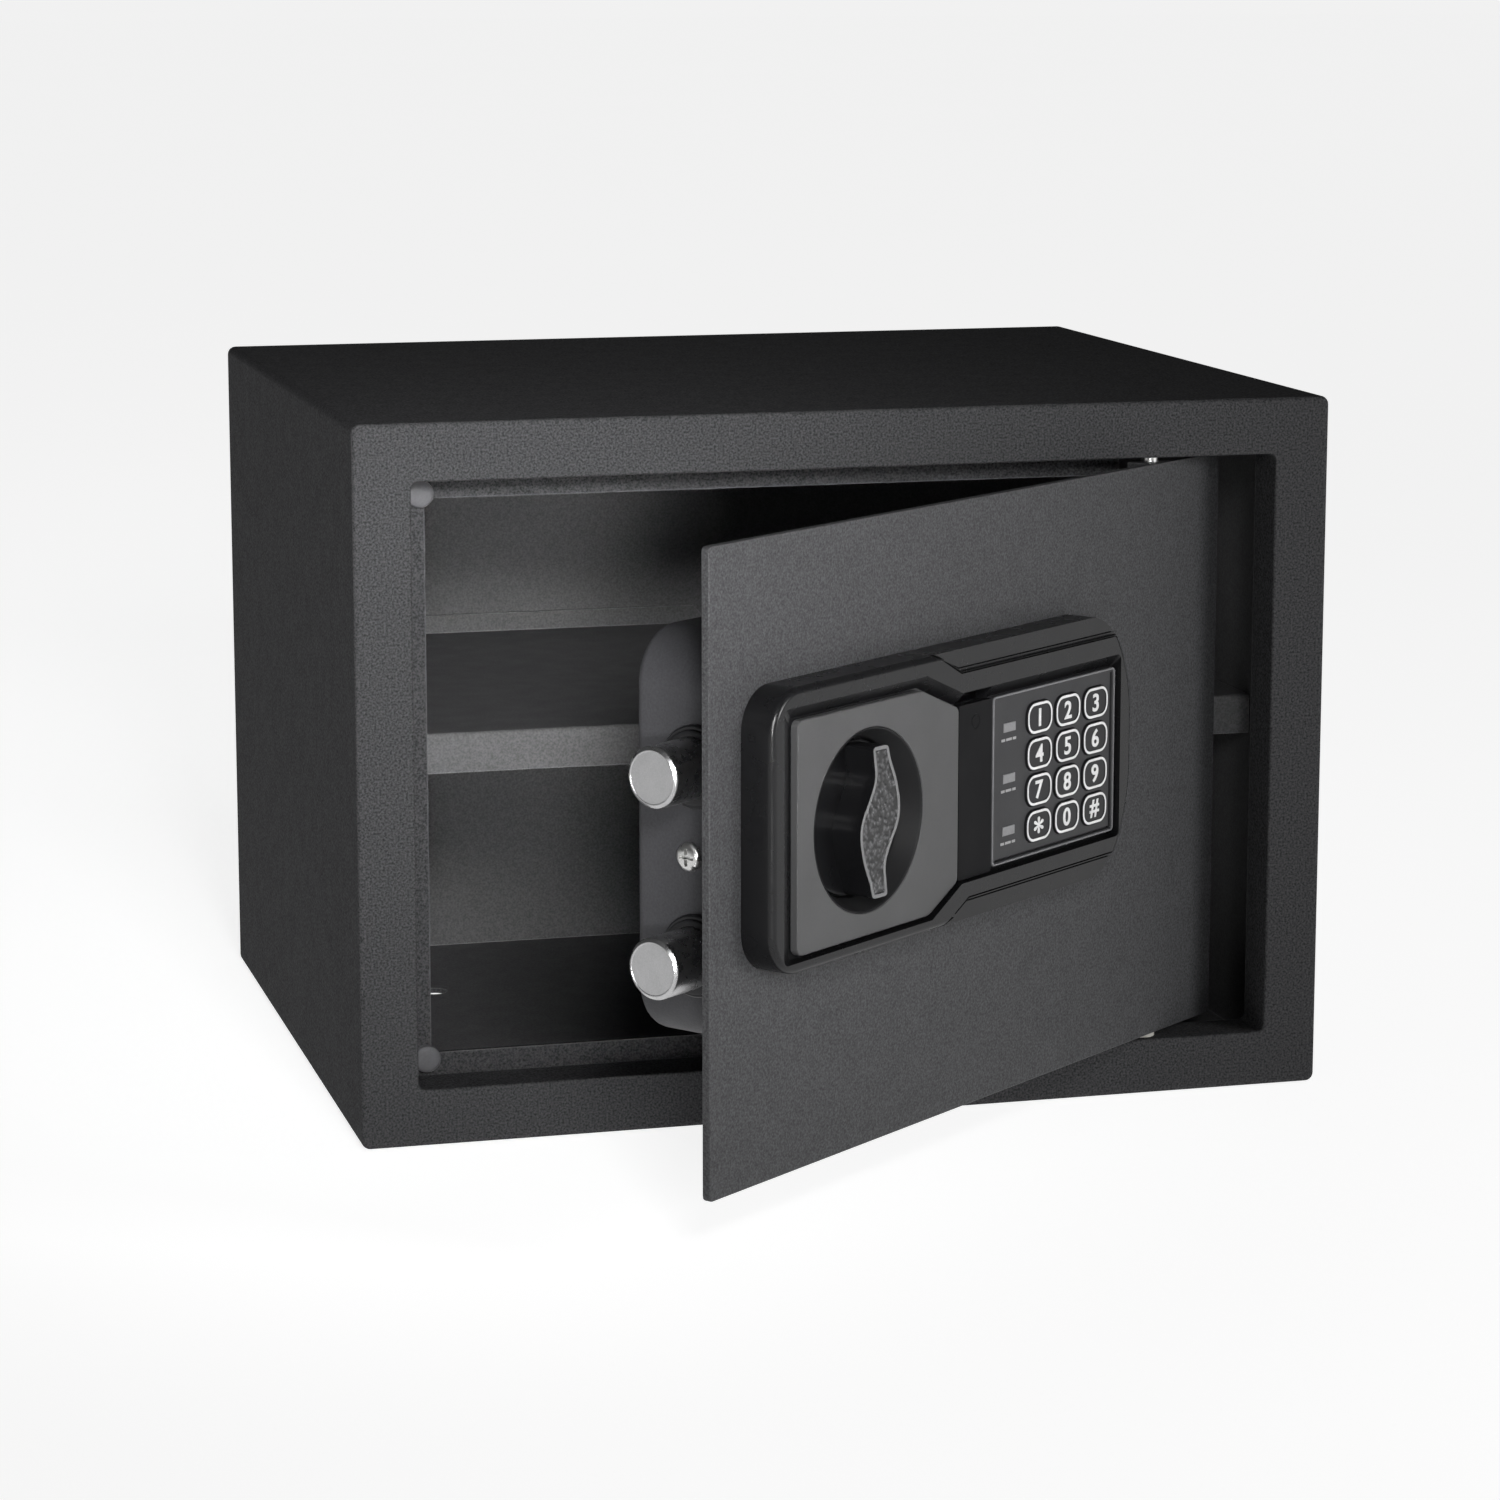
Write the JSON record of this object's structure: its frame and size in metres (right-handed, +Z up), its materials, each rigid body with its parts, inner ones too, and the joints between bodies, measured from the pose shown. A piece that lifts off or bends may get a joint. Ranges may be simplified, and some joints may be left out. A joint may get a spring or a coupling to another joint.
{
  "type": "safe",
  "caption": "Small free-standing steel safe with a recessed turning knob, keypad lock, two sliding bolts and one shelf, its door hinged inside the frame.",
  "frame": {"origin": "middle of the floor anchor holes, on the underside of the body", "axes": "+Z up, the door side faces -Y, +X to the right as seen from the front, hinge side at +X"},
  "size_m": [0.35, 0.4452, 0.25],
  "materials": {
    "body_paint": "fine textured powder coat, dark grey",
    "inner_paint": "satin dark grey paint",
    "door_paint": "fine textured powder coat, blue-grey",
    "lock_plastic": "fine-grained black moulding",
    "plate_plastic": "satin mid-grey",
    "pad_plastic": "satin dark grey",
    "key_plastic": "satin dark grey with white figures",
    "cover_plastic": "smooth black moulding",
    "dial_plastic": "smooth black moulding",
    "grip_rubber": "pebbled grey moulding",
    "bolt_steel": "turned, bright plated",
    "plated_steel": "zinc plated",
    "collar_plastic": "black moulding",
    "lock_brass": "turned",
    "buffer_grey": "smooth grey",
    "washer_nylon": "natural nylon",
    "lens_clear": "frosted light guide",
    "board_green": "lacquered circuit board",
    "cell_wrap": "plain shrink wrap",
    "coil_wrap": "wound coil in a steel frame"
  },
  "bodies": {
    "body": {"body_shell": "body_paint", "back_panel": "body_paint", "door_stop": "body_paint", "stop_buffers": "buffer_grey", "shelf": "inner_paint", "shelf_brackets": "inner_paint", "hinge_bearings": "lock_brass", "thrust_washer": "washer_nylon"},
    "door": {"door_plate": "door_paint", "hinge_blocks": "door_paint", "hinge_pins": "plated_steel", "lock_housing": "lock_plastic", "knob_plate": "plate_plastic", "dial_bezel": "lock_plastic", "keypad_panel": "pad_plastic", "indicator_lenses": "lens_clear", "key_board": "board_green", "lock_cover": "door_paint", "cover_brackets": "plated_steel", "cover_screws": "plated_steel", "bolt_collars": "collar_plastic", "guide_studs": "plated_steel", "override_body": "lock_brass", "battery_tray": "cover_plastic", "batteries": "cell_wrap", "solenoid_body": "coil_wrap"},
    "knob": {"knob_dial": "dial_plastic", "knob_grip": "grip_rubber", "knob_spindle": "plated_steel"},
    "bolts": {"bolt_carriage": "plated_steel", "bolt_upper": "bolt_steel", "bolt_lower": "bolt_steel"},
    "solenoid_pin": {"solenoid_plunger": "plated_steel"},
    "key_cover_body": {"key_cover": "cover_plastic"},
    "override_plug_body": {"override_plug": "lock_brass"},
    "battery_lid_body": {"battery_lid": "cover_plastic"},
    "key_1_body": {"key_1": "key_plastic"},
    "key_2_body": {"key_2": "key_plastic"},
    "key_3_body": {"key_3": "key_plastic"},
    "key_4_body": {"key_4": "key_plastic"},
    "key_5_body": {"key_5": "key_plastic"},
    "key_6_body": {"key_6": "key_plastic"},
    "key_7_body": {"key_7": "key_plastic"},
    "key_8_body": {"key_8": "key_plastic"},
    "key_9_body": {"key_9": "key_plastic"},
    "key_star_body": {"key_star": "key_plastic"},
    "key_0_body": {"key_0": "key_plastic"},
    "key_hash_body": {"key_hash": "key_plastic"}
  },
  "joints": [
    {"name": "door_hinge", "type": "hinge", "parent": "body", "child": "door", "pos_m": [0.1105, -0.135, 0.125], "axis": [0, 0, 1], "range_deg": [-38, 67]},
    {"name": "knob_turn", "type": "hinge", "parent": "door", "child": "knob", "pos_m": [-0.03884, -0.25993, 0.1334], "axis": [0.6157, -0.788, 0], "range_deg": [0, 90]},
    {"name": "bolt_slide", "type": "slide", "parent": "door", "child": "bolts", "axis": [-0.788, -0.6157, 0], "range_m": [0, 0.02]},
    {"name": "solenoid_drop", "type": "slide", "parent": "door", "child": "solenoid_pin", "axis": [0, 0, -1], "range_m": [0, 0.004]},
    {"name": "key_cover_pull", "type": "slide", "parent": "door", "child": "key_cover_body", "axis": [0.6157, -0.788, 0], "range_m": [0, 0.02]},
    {"name": "override_turn", "type": "hinge", "parent": "door", "child": "override_plug_body", "pos_m": [0.00875, -0.22274, 0.132], "axis": [0.6157, -0.788, 0], "range_deg": [-90, 0]},
    {"name": "battery_lid_pull", "type": "slide", "parent": "door", "child": "battery_lid_body", "axis": [-0.6157, 0.788, 0], "range_m": [0, 0.02]},
    {"name": "key_1_press", "type": "slide", "parent": "door", "child": "key_1_body", "axis": [-0.6157, 0.788, 0], "range_m": [0, 0.001], "stiffness_N_per_m": 400},
    {"name": "key_2_press", "type": "slide", "parent": "door", "child": "key_2_body", "axis": [-0.6157, 0.788, 0], "range_m": [0, 0.001], "stiffness_N_per_m": 400},
    {"name": "key_3_press", "type": "slide", "parent": "door", "child": "key_3_body", "axis": [-0.6157, 0.788, 0], "range_m": [0, 0.001], "stiffness_N_per_m": 400},
    {"name": "key_4_press", "type": "slide", "parent": "door", "child": "key_4_body", "axis": [-0.6157, 0.788, 0], "range_m": [0, 0.001], "stiffness_N_per_m": 400},
    {"name": "key_5_press", "type": "slide", "parent": "door", "child": "key_5_body", "axis": [-0.6157, 0.788, 0], "range_m": [0, 0.001], "stiffness_N_per_m": 400},
    {"name": "key_6_press", "type": "slide", "parent": "door", "child": "key_6_body", "axis": [-0.6157, 0.788, 0], "range_m": [0, 0.001], "stiffness_N_per_m": 400},
    {"name": "key_7_press", "type": "slide", "parent": "door", "child": "key_7_body", "axis": [-0.6157, 0.788, 0], "range_m": [0, 0.001], "stiffness_N_per_m": 400},
    {"name": "key_8_press", "type": "slide", "parent": "door", "child": "key_8_body", "axis": [-0.6157, 0.788, 0], "range_m": [0, 0.001], "stiffness_N_per_m": 400},
    {"name": "key_9_press", "type": "slide", "parent": "door", "child": "key_9_body", "axis": [-0.6157, 0.788, 0], "range_m": [0, 0.001], "stiffness_N_per_m": 400},
    {"name": "key_star_press", "type": "slide", "parent": "door", "child": "key_star_body", "axis": [-0.6157, 0.788, 0], "range_m": [0, 0.001], "stiffness_N_per_m": 400},
    {"name": "key_0_press", "type": "slide", "parent": "door", "child": "key_0_body", "axis": [-0.6157, 0.788, 0], "range_m": [0, 0.001], "stiffness_N_per_m": 400},
    {"name": "key_hash_press", "type": "slide", "parent": "door", "child": "key_hash_body", "axis": [-0.6157, 0.788, 0], "range_m": [0, 0.001], "stiffness_N_per_m": 400}
  ],
  "couplings": [
    {"joint": "knob_turn", "follows": "bolt_slide", "rad_per_m": 78.539},
    {"joint": "solenoid_drop", "follows": "bolt_slide", "ratio": 0.2}
  ]
}
